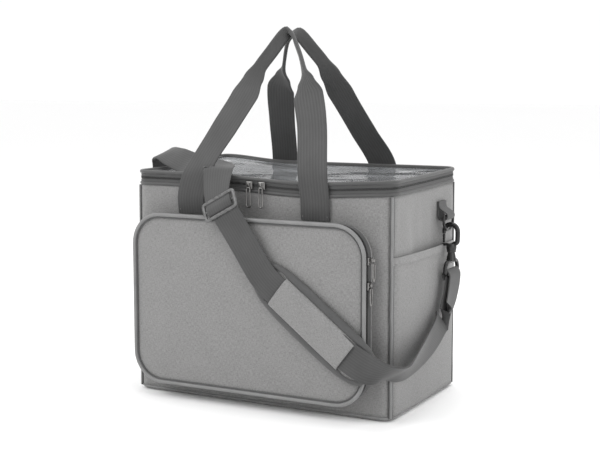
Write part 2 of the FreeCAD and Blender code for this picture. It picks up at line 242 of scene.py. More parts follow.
def clear_film(name):
    """Soft clear vinyl: glossy, faintly smoky, with slow ripples."""
    mat, tree, bsdf = shader(name, 0.09, spec=0.5, coat=0.25)
    bsdf.inputs["Alpha"].default_value = 0.2
    bsdf.inputs["Coat Roughness"].default_value = 0.04
    fac = speckle(tree, coords(tree, "Object", (9, 16, 9)), 2.0)
    colour = ramp(tree, fac, [(0.3, (0.62, 0.64, 0.66)), (0.8, (0.85, 0.87, 0.9))])
    tree.links.new(colour, bsdf.inputs["Base Color"])
    raise_surface(tree, bsdf, fac, 0.5, 0.01)
    return mat


CANVAS = heather_canvas("heather canvas", grey(0.15, 0.008), grey(0.205, 0.008))
CANVAS_FLAT = heather_canvas("heather canvas, flat", grey(0.15, 0.008), grey(0.205, 0.008), "Object")
LINING = heather_canvas("dark lining", grey(0.035), grey(0.055))
WEB = ribbed_webbing("grey webbing", 0.046)
WEB_SMOOTH = ribbed_webbing("strap webbing", 0.044, 0.12)
EDGE_DARK = bound_edge("dark binding", 0.062)
EDGE_LIGHT = bound_edge("light binding", 0.19)
TAPE = ribbed_webbing("zip tape", 0.045, 0.15)
COIL = zip_coil("zip coil", 0.03)
# Same black acetal as PLASTIC, with its colour lightened about elevenfold: painted highlight on the adjuster's
# edges.
ACETAL_PAINTED_HIGHLIGHT = moulded("acetal lightened for painted highlight", 0.09, 0.25)
PLASTIC = moulded("black acetal", 0.008, 0.26)
NICKEL = plated("dark nickel", 0.22)
FILM = clear_film("clear vinyl")
THREAD = zip_coil("stitching thread", 0.16)
BOARD = moulded("base board", 0.05, 0.6)
FINISHES = {
    "heather_fabric": [CANVAS, CANVAS_FLAT], "lining_fabric": [LINING], "webbing": [WEB, WEB_SMOOTH, THREAD],
    "piping": [EDGE_DARK, EDGE_LIGHT], "zip_tape": [TAPE], "zip_coil": [COIL], "black_plastic": [ACETAL_PAINTED_HIGHLIGHT, PLASTIC],
    "dark_metal": [NICKEL], "clear_film": [FILM],
}
SLOTS = {mat.name: slot for slot, mats in FINISHES.items() for mat in mats}


# ---------------------------------------------------------------- building helpers
def close_up(bm):
    bmesh.ops.remove_doubles(bm, verts=bm.verts, dist=0.02)
    bmesh.ops.recalc_face_normals(bm, faces=bm.faces)


def finish_piece(name, bm, body, mat, nodes=(), thick=0.0, smooth=True):
    """Turn a millimetre bmesh into a piece that rides on its body."""
    bmesh.ops.scale(bm, vec=(MM, MM, MM), verts=bm.verts)
    mesh = bpy.data.meshes.new(name)
    for face in bm.faces:
        face.smooth = smooth
    bm.to_mesh(mesh)
    bm.free()
    obj = bpy.data.objects.new(name, mesh)
    bpy.context.scene.collection.objects.link(obj)
    if smooth:
        mesh.set_sharp_from_angle(angle=1.2)
    mesh.materials.append(mat)
    if thick:
        wall = obj.modifiers.new("wall", "SOLIDIFY")
        wall.thickness = thick * MM
        wall.offset = -1.0
    if body:
        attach(obj, body)
    if nodes:
        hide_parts(*nodes)
    return obj


def grid(nu, nv, place, size=(1.0, 1.0), flat=None):
    """Sheet from a grid: place(u, v) gives each point, size its UV extent in millimetres."""
    bm = bmesh.new()
    bmesh.ops.create_grid(bm, x_segments=nu, y_segments=nv, size=0.5)
    layer = bm.loops.layers.uv.new("cloth")
    for face in bm.faces:
        for loop in face.loops:
            u, v = loop.vert.co.x + 0.5, loop.vert.co.y + 0.5
            if flat:
                a, b = flat(place(u, v))
            else:
                a, b = u * size[0], v * size[1]
            loop[layer].uv = (a * MM, b * MM)
    for vert in bm.verts:
        vert.co = place(vert.co.x + 0.5, vert.co.y + 0.5)
    return bm


def cap_ends(bm):
    rims = [e for e in bm.edges if e.is_boundary]
    if rims:
        bmesh.ops.holes_fill(bm, edges=rims, sides=0)


def circle(r, n=10):
    return [(r * math.cos(2 * math.pi * i / n), r * math.sin(2 * math.pi * i / n)) for i in range(n)]


def oblong(a, b, n=4, across=9):
    """Flat strip section with rounded edges, half width a and half thickness b."""
    pts = []
    for side in (1, -1):
        for i in range(n + 1):
            ang = -math.pi / 2 + math.pi * i / n
            pts.append((side * (a - b + b * math.cos(ang)), side * b * math.sin(ang)))
        for i in range(across):
            x = 1 - 2 * (i + 0.35) / (across - 0.3)
            pts.append((side * x * (a - b) , side * b))
    return pts


def sweep(n, track, section, loop=False, length=300.0):
    """Section points (a, b) carried along track(s), which gives a middle point and two directions."""
    def place(u, v):
        p, side, up = track(u)
        sec = section(u) if callable(section) else section
        k = v * len(sec)
        i = int(k + 0.5) % len(sec)
        return p + side * sec[i][0] + up * sec[i][1]
    sec = section(0.0) if callable(section) else section
    round_about = sum((Vector(sec[i]) - Vector(sec[i - 1])).length for i in range(len(sec)))
    bm = grid(n, len(sec), lambda u, v: place(u, v), (length, round_about))
    layer = bm.loops.layers.uv.active
    for face in bm.faces:
        for item in face.loops:
            item[layer].uv = (item[layer].uv.y, item[layer].uv.x)
    bmesh.ops.remove_doubles(bm, verts=bm.verts, dist=0.01)
    if not loop:
        cap_ends(bm)
    bmesh.ops.recalc_face_normals(bm, faces=bm.faces)
    return bm


def smooth_rows(rows):
    """Track through rows of (point, width direction), easing between them."""
    pts = [Vector(r[0]) for r in rows]
    wid = [Vector(r[1]).normalized() for r in rows]
    gaps = [0.0]
    for a, b in zip(pts, pts[1:]):
        gaps.append(gaps[-1] + (b - a).length)
    total = gaps[-1]

    def pick(seq, i):
        return seq[max(0, min(len(seq) - 1, i))]

    def blend(seq, i, t):
        a, b, c, d = (pick(seq, i + k) for k in (-1, 0, 1, 2))
        h = pick(gaps, i + 1) - pick(gaps, i)
        m = (c - a) * (h / max(1e-6, pick(gaps, i + 1) - pick(gaps, i - 1)))
        n = (d - b) * (h / max(1e-6, pick(gaps, i + 2) - pick(gaps, i)))
        e = t * t * (3 - 2 * t)
        return b * (1 - e) + c * e + m * (t * (1 - t) ** 2) + n * (t * t * (t - 1))

    def locate(s):
        want = s * total
        i = 0
        while i < len(gaps) - 2 and gaps[i + 1] < want:
            i += 1
        t = (want - gaps[i]) / max(1e-6, gaps[i + 1] - gaps[i])
        return blend(pts, i, t), blend(wid, i, t)

    def track(s):
        p, w = locate(s)
        step = 0.004
        ahead = locate(min(1.0, s + step))[0] - locate(max(0.0, s - step))[0]
        ahead.normalize()
        w = (w - ahead * w.dot(ahead)).normalized()
        return p, w, ahead.cross(w).normalized()
    return track, total


def pillow(nu, nv, rim, middle, rise, dip, soft):
    """Closed cushion: two sheets of squares that meet in a seam along rim(x, z)."""
    bm = bmesh.new()
    layer = bm.loops.layers.uv.new("cloth")
    for height in (rise, -dip):
        for vert in bmesh.ops.create_grid(bm, x_segments=nu, y_segments=nv, size=1.0)["verts"]:
            x, z = vert.co.x, vert.co.y
            r = max(abs(x), abs(z), 1e-6)
            q = middle + (rim(x / r, z / r) - middle) * r
            ease = soft(q) if height > 0 else 0.0
            q.y -= (height + ease) * (1 - r ** 4)
            vert.co = q
    for face in bm.faces:
        for loop in face.loops:
            loop[layer].uv = (loop.vert.co.x * MM, loop.vert.co.z * MM)
    close_up(bm)
    return bm


def swell(obj, cap):
    """Blow a closed cushion up as cloth held at its seam, and keep the shape it takes."""
    mesh = obj.data
    limit = cap * MM
    sides = {}
    for face in mesh.polygons:
        for index in face.vertices:
            sides.setdefault(index, set()).add(face.normal.y < 0)
    seam = obj.vertex_groups.new(name="seam")
    seam.add([index for index, seen in sides.items() if len(seen) == 2], 1.0, "REPLACE")
    cloth = obj.modifiers.new("cloth", "CLOTH")
    cloth.settings.quality = 6
    cloth.settings.bending_stiffness = 3.0
    cloth.settings.effector_weights.gravity = 0.0
    cloth.settings.use_pressure = True
    cloth.settings.uniform_pressure_force = SWELL_PRESSURE
    cloth.settings.vertex_group_mass = "seam"
    scene = bpy.context.scene
    for moment in range(1, SWELL_FRAMES + 1):
        scene.frame_set(moment)
    blown = obj.evaluated_get(bpy.context.evaluated_depsgraph_get()).to_mesh()
    shifts = [new.co - old.co for new, old in zip(blown.vertices, mesh.vertices)]
    obj.modifiers.remove(cloth)
    obj.vertex_groups.remove(seam)
    scene.frame_set(1)
    for vert, shift in zip(mesh.vertices, shifts):
        reach = max(shift.length, 1e-9)
        vert.co += shift * (limit * math.tanh(reach / limit) / reach)
    sub = obj.modifiers.new("smooth", "SUBSURF")
    sub.levels = 1
    sub.render_levels = 1


def strip(name, rows, thick, nodes=(), n=90, width=WEB_W - 1, mat=WEB_SMOOTH):
    """Flat webbing along rows of (point, direction across)."""
    track, total = smooth_rows(rows)
    bm = sweep(n, track, oblong(width / 2, thick / 2), length=total)
    return finish_piece(name, bm, "bag", mat, nodes)


def rod(name, points, radius, body, mat, nodes=(), n=60, up=(0, 1, 0), loop=False):
    """Round bar along points; up is a direction square to the path."""
    rows = [(p, up) for p in (points + [points[0]] if loop else points)]
    track, total = smooth_rows(rows)
    bm = sweep(n, track, circle(radius, 10), loop=loop, length=total)
    return finish_piece(name, bm, body, mat, nodes)


def rounded_block(bm, lo, hi, bevel=0.6, steps=2):
    lo, hi = Vector(lo), Vector(hi)
    place = Matrix.Translation((lo + hi) / 2) @ Matrix.Diagonal((*(hi - lo), 1.0))
    made = bmesh.ops.create_cube(bm, size=1.0, matrix=place)
    edges = list({e for v in made["verts"] for e in v.link_edges})
    bmesh.ops.bevel(bm, geom=edges, offset=bevel, segments=steps, profile=0.5, affect="EDGES", material=-1)


def turned(bm, segments, low, high, depth, middle):
    """Turned cone or drum standing upright on a middle point."""
    bmesh.ops.create_cone(bm, cap_ends=True, segments=segments, radius1=low, radius2=high, depth=depth,
                          matrix=Matrix.Translation(middle))


def dress(node, mat):
    """Keep a CAD sub-part's shape and give it its finish."""
    obj = bpy.data.objects[node]
    for slot in obj.material_slots:
        slot.link = "OBJECT"
        slot.material = mat


def hand(sign):
    return "right" if sign > 0 else "left"


# ---------------------------------------------------------------- body outline
def corner_radius(z):
    f = (z - WALL_LO) / (WALL_HI - WALL_LO)
    return R_LOW + (R_TOP - R_LOW) * max(0.0, min(1.0, f))


def rim_shift(x, y):
    """The soft rim dips in front between the handle legs and lifts a little behind."""
    front = max(0.0, min(1.0, -y / 80.0))
    back = max(0.0, min(1.0, y / 100.0))
    dip = 6.5 * math.exp(-((x - 62.0) / 85.0) ** 2) * front
    lift = (2.5 + 7.0 * math.exp(-((x + 165.0) / 60.0) ** 2)) * back
    return lift - dip


def side_walk(half, out, r, t):
    """Along one side from corner seam to corner seam: along, outward, and the normal."""
    arc = r * math.pi / 4
    total = 2 * (half - r) + 2 * arc
    s = (t + 1) / 2 * total
    if s < arc:
        ang = -math.pi / 4 + s / r
        return -(half - r) + r * math.sin(ang), out - r + r * math.cos(ang), math.sin(ang), math.cos(ang)
    if s > total - arc:
        ang = (s - total + arc) / r
        return half - r + r * math.sin(ang), out - r + r * math.cos(ang), math.sin(ang), math.cos(ang)
    return -(half - r) + s - arc, out, 0.0, 1.0


SIDES = ("front", "right", "rear", "left")
TURNS = {"front": (1, 0, 0, -1), "right": (0, 1, 1, 0), "rear": (-1, 0, 0, 1), "left": (0, -1, -1, 0)}


def side_point(side, t, z, off=0.0):
    """Point and outward normal on one side of the body at height z."""
    wide = side in ("front", "rear")
    half, out = (W / 2, D / 2) if wide else (D / 2, W / 2)
    p, q, a, b = side_walk(half, out, corner_radius(z), t)
    px, py, qx, qy = TURNS[side]
    n = Vector((a * px + b * qx, a * py + b * qy, 0.0))
    return Vector((p * px + q * qx, p * py + q * qy, z)) + n * off, n


def around(s, z, off=0.0):
    """The whole way round the rim, starting at the front left corner."""
    lengths = [W, D, W, D]
    k = (s % 1.0) * sum(lengths)
    for side, length in zip(SIDES, lengths):
        if k <= length:
            return side_point(side, 2 * k / length - 1, z, off)
        k -= length
    return side_point("left", 1.0, z, off)


def rim_track(z, off):
    def track(s):
        p, n = around(s, z, off)
        p.z += rim_shift(p.x, p.y)
        return p, n, Vector((0, 0, 1))
    return track


def rim_ring(name, z, off, section, body, mat, nodes=(), n=220):
    bm = sweep(n, rim_track(z, off), section, loop=True, length=2 * (W + D) - 60)
    return finish_piece(name, bm, body, mat, nodes)


# ---------------------------------------------------------------- body
def wrinkle(side, t, v, amount):
    """Slow puckers, fading out at the seams and strongest under the rim."""
    seed = {"front": 3.1, "right": 17.7, "rear": 29.3, "left": 41.9}[side]
    edge = min(1.0, (1 - abs(t)) * 5.0) * min(1.0, v * 6.0) * min(1.0, (1 - v) * 9.0)
    big = noise.noise(Vector((t * 1.7 + seed, v * 1.6, seed)))
    small = noise.noise(Vector((t * 4.2 + seed, v * 3.1 + t * 1.8, seed * 2)))
    return amount * edge * (1.6 * big + (0.4 + v) * 1.1 * small)


def build_panel(side, slot_node):
    wide = side in ("front", "rear")

    def place(u, v):
        t = 2 * u - 1
        z = WALL_LO + v * (WALL_HI - WALL_LO)
        p, n = side_point(side, t, z)
        p += n * wrinkle(side, t, v, 1.5)
        p.z += rim_shift(p.x, p.y) * v ** 3
        return p
    bm = grid(72 if wide else 52, 56, place, (W if wide else D, WALL_HI - WALL_LO))
    bmesh.ops.recalc_face_normals(bm, faces=bm.faces)
    middle = place(0.5, 0.5)
    face = min(bm.faces, key=lambda f: (f.calc_center_median() - middle).length)
    if face.normal.dot(side_point(side, 0.0, 100.0)[1]) < 0:
        bmesh.ops.reverse_faces(bm, faces=bm.faces)
    finish_piece("canvas_" + side + "_panel", bm, "bag", CANVAS, [slot_node], thick=3.2)


def build_walls():
    for side, node in zip(SIDES, ("front_panel", "right_side_panel", "rear_panel", "left_side_panel")):
        build_panel(side, node)


def build_lining():
    for side in SIDES:
        def place(u, v, side=side):
            z = WALL_LO + 2 + v * (WALL_HI + 5 - WALL_LO - 2)
            p, n = side_point(side, 2 * u - 1, z, -5.2)
            p -= n * 1.2 * abs(noise.noise(Vector((u * 5, v * 4, 9.0 + SIDES.index(side)))))
            p.z += rim_shift(p.x, p.y) * v ** 3
            return p
        bm = grid(36, 24, place, (W, WALL_HI))
        bmesh.ops.recalc_face_normals(bm, faces=bm.faces)
        replaced = ["lining"] if side == "front" else []
        finish_piece("lining_" + side, bm, "bag", LINING, replaced, thick=0.5)


def corner_track(sx, sy):
    """Along one corner seam, from just below the foot of the wall up to the rim."""
    def track(s):
        z = WALL_LO - 1.5 + s * (WALL_HI - 1 - WALL_LO + 1.5)
        r = corner_radius(z)
        out = Vector((sx * math.sin(SEAM_TURN), sy * math.cos(SEAM_TURN), 0))
        p = Vector((sx * (W / 2 - r), sy * (D / 2 - r), z)) + out * (r + 1.2)
        p.z += rim_shift(p.x, p.y) * s ** 3
        wave = 0.5 * noise.noise(Vector((s * 9, sx * 3, sy * 5)))
        side = out.cross(Vector((0, 0, 1)))
        return p + side * wave, out, side
    return track


def build_corner_pipings():
    corners = (("front_left", -1, -1), ("front_right", 1, -1), ("rear_left", -1, 1), ("rear_right", 1, 1))
    for nm, sx, sy in corners:
        bm = sweep(60, corner_track(sx, sy), circle(2.0, 12), length=WALL_HI)
        finish_piece(nm + "_corner_cord", bm, "bag", EDGE_LIGHT, [nm + "_piping"])
        # Dark band either side of the corner cord: painted shadow in the seam beside the piping.
        shade_band = [(0.0, -2.9), (0.5, -2.8), (0.5, 2.8), (0.0, 2.9), (-0.6, 0.0)]
        bm = sweep(60, corner_track(sx, sy), shade_band, length=WALL_HI)
        finish_piece(nm + "_seam_lip", bm, "bag", EDGE_DARK)


def build_base():
    """Base panel with a softly turned edge and the piped seam above it."""
    def place(u, v):
        p, n = around(u, 3.0, -1.0)
        ang = math.pi * 0.5 * v
        return p - n * 3.0 * (1 - math.cos(ang)) - Vector((0, 0, 3.0 * math.sin(ang)))
    bm = grid(160, 6, place, (2 * (W + D), 8))
    bmesh.ops.remove_doubles(bm, verts=bm.verts, dist=0.02)
    low = [e for e in bm.edges if e.is_boundary and all(v.co.z < 1.0 for v in e.verts)]
    bmesh.ops.holes_fill(bm, edges=low, sides=0)
    cap_ends(bm)
    bmesh.ops.recalc_face_normals(bm, faces=bm.faces)
    finish_piece("canvas_base", bm, "bag", CANVAS_FLAT, ["base_panel"])

    def track(s):
        return (*around(s, WALL_LO - 1.2, -0.3), Vector((0, 0, 1)))
    bm = sweep(200, track, circle(1.5, 8), loop=True, length=2 * (W + D))
    finish_piece("base_seam_cord", bm, "bag", EDGE_LIGHT, ["base_piping"])


# ---------------------------------------------------------------- rim zip and lid
def teeth(bm, spots, size):
    for p, n in spots:
        turn = Vector((1, 0, 0)).rotation_difference(n).to_matrix().to_4x4()
        place = Matrix.Translation(p) @ turn @ Matrix.Diagonal((*size, 1.0))
        bmesh.ops.create_cube(bm, size=1.0, matrix=place)


def zip_teeth(name, walk, y_or_z, count, size, body, node):
    """One half of a zip's teeth; the lid's and cover's half sits between the body's."""
    bm = bmesh.new()
    half = 0.0 if body == "bag" else 0.5
    teeth(bm, [walk((i + half) / count, y_or_z) for i in range(count)], size)
    finish_piece(name + "_zip_teeth", bm, body, COIL, [node], smooth=False)


def build_rim():
    """Bindings, tapes and teeth round the rim, and the cloth hinge behind."""
    rim_ring("rim_lower_binding", WALL_HI + 1.6, -0.2, circle(2.1, 12), "bag", EDGE_DARK, ["rim_piping"])
    tape = [(-1.2, -2.6), (0.5, -2.4), (0.9, 0.0), (0.4, 2.4), (-1.2, 2.5)]
    rim_ring("rim_tape", SPLIT - 4.0, LID_OFF, tape, "bag", TAPE, ["rim_zip_tape"])
    rim_ring("lid_tape", SPLIT + 3.4, LID_OFF, tape, "lid", TAPE, ["lid_zip_tape"])
    rim_ring("lid_binding", RIM - 2.2, LID_OFF, circle(2.4, 12), "lid", EDGE_DARK, ["lid_piping"])
    seam = [(-0.6, -0.4), (0.6, -0.3), (0.6, 0.3), (-0.6, 0.4)]
    rim_ring("lid_inner_binding", RIM - 3.4, -5.6, [(a * 4.6, b * 3.4) for a, b in seam], "lid", EDGE_DARK)

    def walk(turn, z):
        p, n = around(turn, z, LID_OFF)
        p.z += rim_shift(p.x, p.y)
        return p, n
    for name, z, body in (("rim", SPLIT - 0.75, "bag"), ("lid", SPLIT + 0.75, "lid")):
        zip_teeth(name, walk, z, RIM_TEETH, (1.7, 0.9, 1.3), body, name + "_zip_coil")

    def hinge_place(u, v):
        p = Vector((-95 + 190 * u, D / 2 + 1.4, WALL_HI + 1 + v * (RIM - WALL_HI - 3)))
        p.z += rim_shift(p.x, p.y)
        return p
    bm = grid(40, 8, hinge_place, (190, 14))
    bmesh.ops.recalc_face_normals(bm, faces=bm.faces)
    finish_piece("lid_back_cloth", bm, "bag", LINING, ["lid_hinge_tape"], thick=0.6)


def build_window():
    """Clear film stitched inside the lid's edge, sagging gently."""
    def place(u, v):
        p = around(u, RIM - 3.2, -5.0)[0]
        p.z += rim_shift(p.x, p.y)
        mid = Vector((0, 0, RIM - 3.2))
        q = mid + (p - mid) * v
        q.z += -5.0 * (1 - v * v) + 1.6 * (1 - v) * v * 4 * noise.noise(Vector((q.x / 60, q.y / 45, 2.0)))
        return q
    bm = grid(120, 26, place, (100, 100))
    close_up(bm)
    finish_piece("clear_window", bm, "lid", FILM, ["lid_window"], thick=0.5)


# ---------------------------------------------------------------- front pocket
def pocket_walk(s, grow=0.0):
    """Round the pocket outline: x, z and outward direction."""
    lengths = [PKT_W, PKT_H, PKT_W, PKT_H]
    k = (s % 1.0) * sum(lengths)
    for i, length in enumerate(lengths):
        if k <= length or i == 3:
            half, out = (PKT_W / 2, PKT_H / 2) if i % 2 == 0 else (PKT_H / 2, PKT_W / 2)
            p, q, a, b = side_walk(half, out, PKT_R, min(1.0, 2 * k / length - 1))
            px, pz, qx, qz = ((1, 0, 0, -1), (0, 1, 1, 0), (-1, 0, 0, 1), (0, -1, -1, 0))[i]
            n = Vector((a * px + b * qx, 0, a * pz + b * qz))
            return Vector((PKT_MID.x + p * px + q * qx, 0, PKT_MID.z + p * pz + q * qz)) + n * grow, n
        k -= length


def pocket_ring(name, y, grow, section, body, mat, nodes=(), n=200):
    def track(s):
        p, n = pocket_walk(s, grow)
        p.y = y
        return p, n, Vector((0, -1, 0))
    bm = sweep(n, track, section, loop=True, length=PKT_AROUND)
    return finish_piece(name, bm, body, mat, nodes)


def build_pocket_sides():
    depth = -D / 2 - (PKT_ZIP + 5)
    def place(u, v):
        p, n = pocket_walk(u, -0.4)
        swell = math.sin(math.pi * v) * (0.9 + 0.8 * noise.noise(Vector((u * 14, v, 4.0))))
        p += n * (swell - 1.0)
        p.y = -D / 2 + 0.6 - v * (depth + 0.6)
        return p
    bm = grid(200, 8, place, (PKT_AROUND, depth))
    close_up(bm)
    if sum(f.normal.dot(f.calc_center_median() - PKT_MID) for f in bm.faces) < 0:
        bmesh.ops.reverse_faces(bm, faces=bm.faces)
    finish_piece("pocket_side_band", bm, "bag", CANVAS, ["pocket_gusset"], thick=1.6)
    wide = [(-1.4, -7.4), (0.0, -7.2), (0.5, -2.0), (0.2, 1.6), (-1.0, 1.8)]
    tape = [(-1.0, -1.8), (0.2, -1.6), (0.6, 0.0), (0.2, 1.6), (-1.0, 1.8)]
    pocket_ring("pocket_tape", PKT_ZIP + 3.4, 0.9, wide, "bag", TAPE, ["pocket_zip_tape"])
    pocket_ring("cover_tape", PKT_ZIP - 2.8, 0.2, tape, "pocket_cover", TAPE, ["pocket_cover_tape"])

    def walk(turn, y):
        p, n = pocket_walk(turn, 0.1)
        p.y = y
        return p, n
    for name, y, body in (("pocket", PKT_ZIP + 0.7, "bag"), ("cover", PKT_ZIP - 0.7, "pocket_cover")):
        node = "pocket_zip_coil" if body == "bag" else "pocket_cover_coil"
        zip_teeth(name, walk, y, PKT_TEETH, (1.6, 1.1, 0.9), body, node)


def build_pocket_cover():
    """Lightly padded cover, crowned in the middle and drawn in at its piping."""
    seam_y = PKT_ZIP - 5.4

    def rim(x, z):
        if abs(x) < abs(z):
            gone = PKT_W * (1 + x) / 2 if z < 0 else PKT_W + PKT_H + PKT_W * (1 - x) / 2
        else:
            gone = PKT_W + PKT_H * (1 + z) / 2 if x > 0 else 2 * PKT_W + PKT_H + PKT_H * (1 - z) / 2
        p = pocket_walk(gone / PKT_AROUND, -0.8)[0]
        p.y = seam_y
        return p

    def soft(q):
        return 0.8 * noise.noise(Vector((q.x / 55, q.z / 48, 7.0))) + 0.2 * noise.noise(q / 16)
    middle = Vector((PKT_MID.x, seam_y, PKT_MID.z))
    bm = pillow(72, 50, rim, middle, 2.4, 0.8, soft)
    cover = finish_piece("padded_pocket_cover", bm, "pocket_cover", CANVAS, ["pocket_cover"])
    swell(cover, 3.2)
    cord_y = PKT_ZIP - 6.6
    pocket_ring("cover_edge_cord", cord_y, 0.1, circle(2.3, 12), "pocket_cover", EDGE_LIGHT,
                ["pocket_cover_piping"])
    # Thin dark ring inside the cord: painted shade in the groove where the cord meets the cushion.
    pocket_ring("cover_edge_groove", cord_y - 0.3, -3.1, circle(1.0, 6), "pocket_cover", EDGE_DARK)


# ---------------------------------------------------------------- side slip pockets
def build_pouch(sign):
    """Slip pocket stretched over the side panel, standing away in the middle of its hem."""
    side = hand(sign)

    def place(u, v):
        t = 2 * u - 1
        z = WALL_LO + 0.5 + v * (POUCH_HI - WALL_LO - 0.5)
        p, n = side_point(side, t * 0.985, z)
        bulge = 0.6 + 5.6 * max(0.0, math.cos(math.pi * t / 2)) ** 0.7 * (0.35 + 0.65 * v)
        p += n * (bulge + 0.7 * noise.noise(Vector((t * 3, v * 4, sign * 5.0))) * (1 - t * t))
        if v == 1.0:
            p += n * 0.5
        return p
    height = POUCH_HI - WALL_LO
    width = D - 2 * 14
    bm = grid(52, 48, place, (width, height))
    bmesh.ops.recalc_face_normals(bm, faces=bm.faces)
    face = min(bm.faces, key=lambda f: (f.calc_center_median() - place(0.5, 0.5)).length)
    if face.normal.x * sign < 0:
        bmesh.ops.reverse_faces(bm, faces=bm.faces)
    area = sum(f.calc_area() for f in bm.faces) * MM * MM
    obj = finish_piece(side + "_slip_pocket", bm, "bag", CANVAS, [side + "_side_pocket"], thick=1.0)

    def hem_track(s):
        p = place(s, 0.985)
        n = side_point(side, (2 * s - 1) * 0.985, POUCH_HI)[1]
        return p + n * 0.2, n, Vector((0, 0, 1))
    bm = sweep(60, hem_track, [(-0.5, -6), (0.6, -6), (0.9, 0), (0.7, 3.2), (-0.5, 3.2)], length=width)
    hem = finish_piece(side + "_pocket_hem", bm, "bag", CANVAS)


# ---------------------------------------------------------------- carrying handles
FLAT = (WEB_W / 2, WEB_T / 2)
HALF = (WEB_W / 2.9, 1.6)
FOLD = (8.6, 2.3)
THIN = (7.4, 2.3)
FRONT_GRIP = [
    ((-80, -105, 284), (1, 0, 0.2), FLAT),
    ((-60, -79, 333), (1, 0, 0), FLAT),
    ((-44, -57, 372), (1, 0, -0.1), FLAT),
    ((-38.5, -44, 393), (0.92, 0.14, -0.3), HALF),
    ((-33, -34.5, 409), (0.8, 0.28, -0.45), FOLD),
    ((-23.5, -25, 426), (0.76, 0.29, -0.56), FOLD),
    ((-13.5, -13.5, 445), (0.76, 0.29, -0.56), FOLD),
    ((-8.5, -8.5, 450.5), (0.5, 0.55, -0.65), FOLD),
    ((-2.5, -9.5, 448.5), (0.1, 0.75, -0.65), THIN),
    ((5, -16, 440), (-0.2, 0.76, -0.62), THIN),
    ((19, -28, 421), (-0.3, 0.74, -0.6), THIN),
    ((29.5, -39, 403), (-0.5, 0.65, -0.55), THIN),
    ((36.5, -48, 389), (-0.9, 0.25, -0.2), HALF),
    ((45.5, -58, 372), (-1, 0, 0.05), FLAT),
    ((60, -77, 338), (-1, 0, 0), FLAT),
    ((75, -105, 284), (-1, 0, 0), FLAT),
]
REAR_GRIP = [
    ((-75, 105, 286), (1, 0, 0), FLAT),
    ((-64, 77, 338), (1, 0, 0), FLAT),
    ((-53, 53, 379), (1, 0, 0.05), FLAT),
    ((-44, 43, 395), (0.85, -0.25, -0.2), HALF),
    ((-38.5, 35, 408), (0.4, -0.7, -0.5), THIN),
    ((-31.5, 26, 424), (0.33, -0.73, -0.6), THIN),
    ((-21.5, 15, 441), (0.3, -0.74, -0.6), THIN),
    ((-12, 10, 449), (0.1, -0.77, -0.62), THIN),
    ((-5.5, 9, 451), (-0.2, -0.72, -0.65), FOLD),
    ((-0.5, 13, 446), (-0.5, -0.5, -0.65), FOLD),
    ((9, 22, 431), (-0.58, -0.43, -0.63), FOLD),
    ((19, 31.5, 415), (-0.62, -0.38, -0.6), FOLD),
    ((26, 42.5, 397), (-0.85, -0.2, -0.35), HALF),
    ((34, 56, 374), (-1, 0, -0.05), FLAT),
    ((53, 85, 324), (-1, 0, 0), FLAT),
    ((70, 105, 284), (-1, 0, -0.1), FLAT),
]


def build_handle(name, side, legs, foot, grip, nodes):
    """Up one leg, folded double over the grip, and down the other leg."""
    a, b = legs
    low, bend = (side * (D / 2 + 1.4), foot), (side * 106.5, 252)
    rows = [((a, *low), (1, 0, 0), FLAT), ((a, *bend), (1, 0, 0), FLAT)]
    rows += grip
    rows += [((b, *bend), (-1, 0, 0), FLAT), ((b, *low), (-1, 0, 0), FLAT)]
    track, total = smooth_rows([row[:2] for row in rows])
    marks = [0.0]
    for near, far in zip(rows, rows[1:]):
        marks.append(marks[-1] + (Vector(far[0]) - Vector(near[0])).length)

    def section(s):
        want = s * marks[-1]
        i = 0
        while i < len(marks) - 2 and marks[i + 1] < want:
            i += 1
        t = min(1.0, (want - marks[i]) / (marks[i + 1] - marks[i]))
        t = t * t * (3 - 2 * t)
        half, thick = (rows[i][2][k] * (1 - t) + rows[i + 1][2][k] * t for k in (0, 1))
        return oblong(half, thick, 6)
    bm = sweep(260, track, section, length=total)
    obj = finish_piece(name, bm, None, WEB_SMOOTH, nodes)
    if side < 0:
        obj.data.materials.append(WEB)
        for face in obj.data.polygons:
            face.material_index = int(face.center.x > 0.03)
    return obj


def build_handles():
    front = (span("front_left_handle_leg"), span("front_right_handle_leg"))
    rear = (span("rear_left_handle_leg"), span("rear_right_handle_leg"))
    for name, side, legs, grip in (("front", -1, front, FRONT_GRIP), ("rear", 1, rear, REAR_GRIP)):
        xs = [(lo.x + hi.x) / 2 for lo, hi in legs]
        body = name + "_handle"
        obj = build_handle(name + "_webbing_handle", side, xs, legs[0][0].z, grip,
                           [body, name + "_left_handle_leg", name + "_right_handle_leg"])
        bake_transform(obj)
        for lo, hi in legs:
            build_leg_stitches(name, side, (lo.x + hi.x) / 2, lo.z, hi.z)


def build_leg_stitches(name, side, x, z_lo, z_hi):
    """Lines of stitching that hold a handle leg to the panel."""
    y = side * (D / 2 + 2.75)
    a = WEB_W / 2 - 3.0
    ends = [(-a, z_lo + 3, -a, z_hi - 16), (a, z_lo + 3, a, z_hi - 16), (-a, z_hi - 16, a, z_hi - 16)]
    bm = bmesh.new()
    for x0, z0, x1, z1 in ends:
        run = Vector((x1 - x0, 0, z1 - z0))
        count = max(2, int(run.length / 3.0))
        for i in range(count):
            mid = Vector((x + x0, y, z0)) + run * ((i + 0.5) / count)
            along = (2.0, 0.5, 0.5) if abs(run.x) > abs(run.z) else (0.5, 0.5, 2.0)
            place = Matrix.Translation(mid) @ Matrix.Diagonal((*along, 1.0))
            bmesh.ops.create_cube(bm, size=1.0, matrix=place)
    finish_piece(name + "_" + hand(x) + "_leg_stitches", bm, "bag", THREAD, smooth=False)


